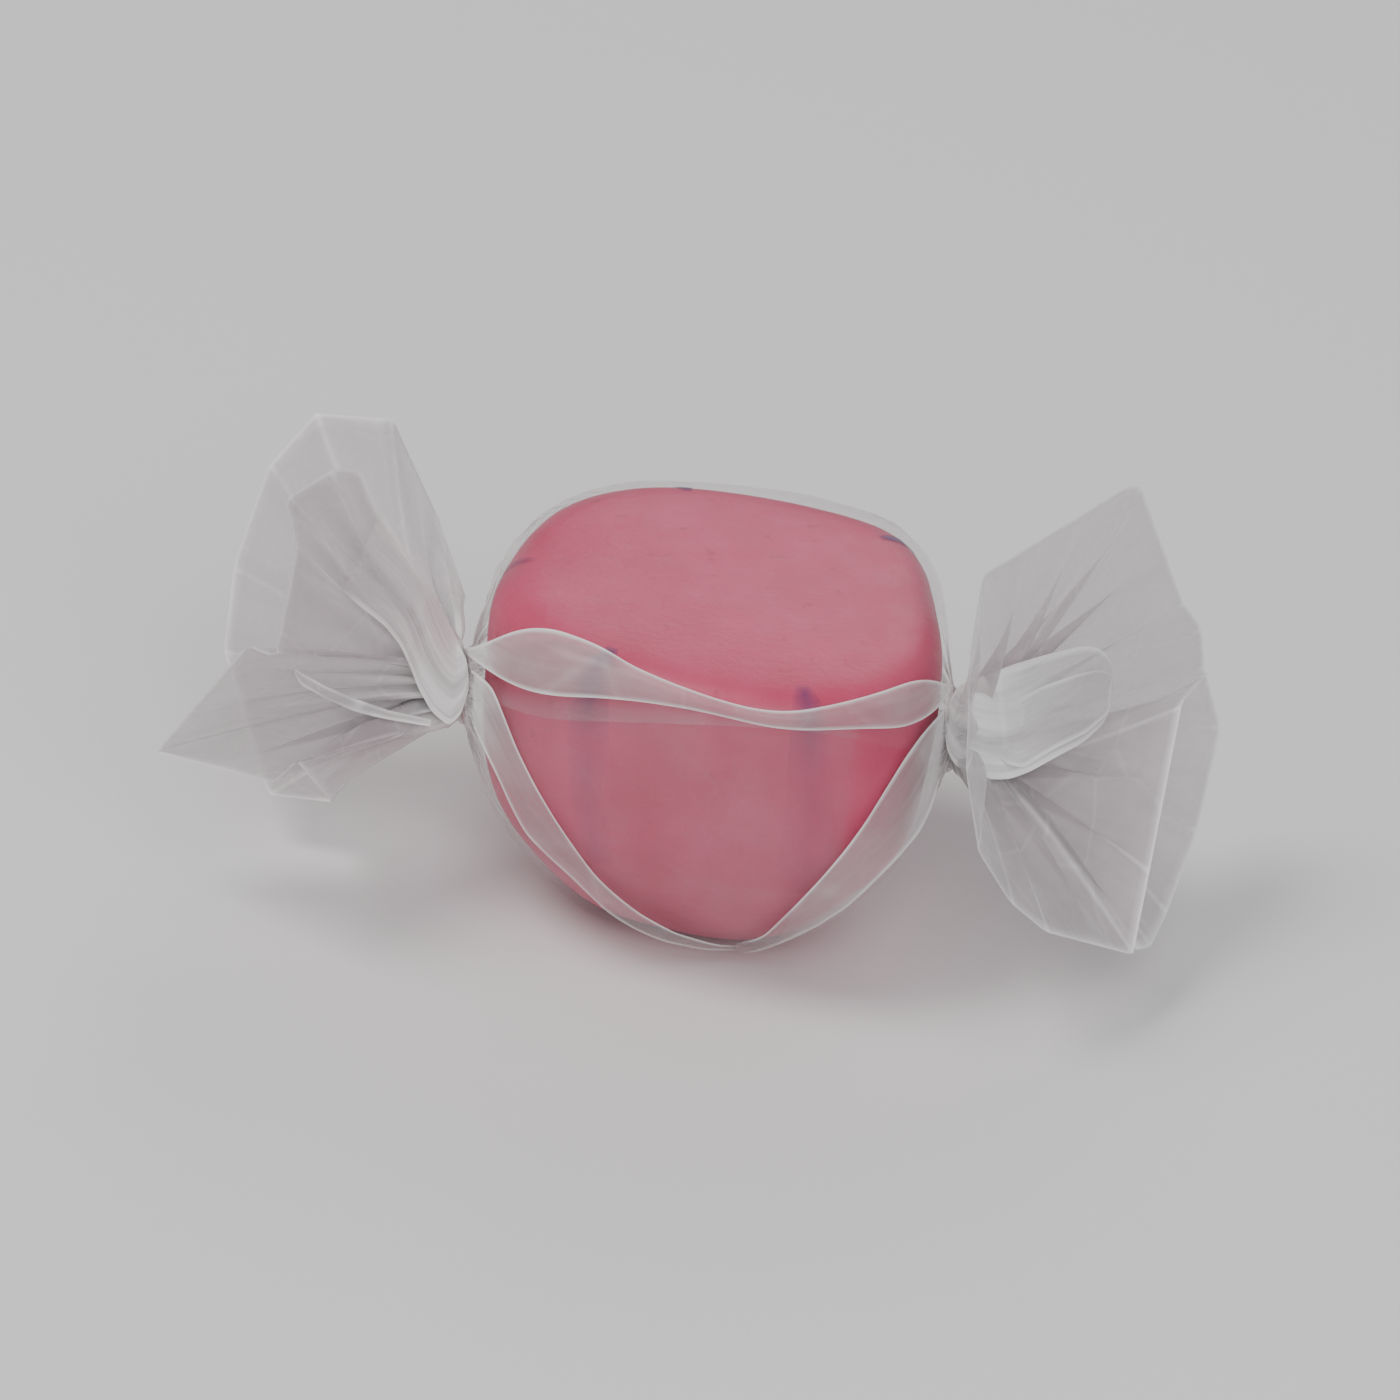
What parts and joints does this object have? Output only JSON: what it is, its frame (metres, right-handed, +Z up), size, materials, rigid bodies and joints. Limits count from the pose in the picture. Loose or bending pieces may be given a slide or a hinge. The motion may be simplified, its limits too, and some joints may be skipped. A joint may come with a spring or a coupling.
{
  "type": "salt water taffy",
  "caption": "Round puck of chewy taffy with coloured stripes along its side, wrapped in a waxed-paper sheet whose two ends are twisted and flare out.",
  "frame": {"origin": "middle of the flat underside, where the wrapped puck rests", "axes": "+X along the twist of the wrapper, +Z up out of the puck's upper cut face, -Y towards the side where the sheet overlaps"},
  "size_m": [0.0588, 0.03, 0.0277],
  "materials": {
    "taffy": "soft chewy candy, dull sheen",
    "stripe": "soft chewy candy, dull sheen",
    "waxed_paper": "translucent waxed paper, slight sheen"
  },
  "bodies": {
    "root": {"taffy": "taffy", "stripe_1": "stripe", "stripe_2": "stripe", "stripe_3": "stripe", "stripe_4": "stripe", "stripe_5": "stripe", "wrapper": "waxed_paper"}
  },
  "joints": []
}
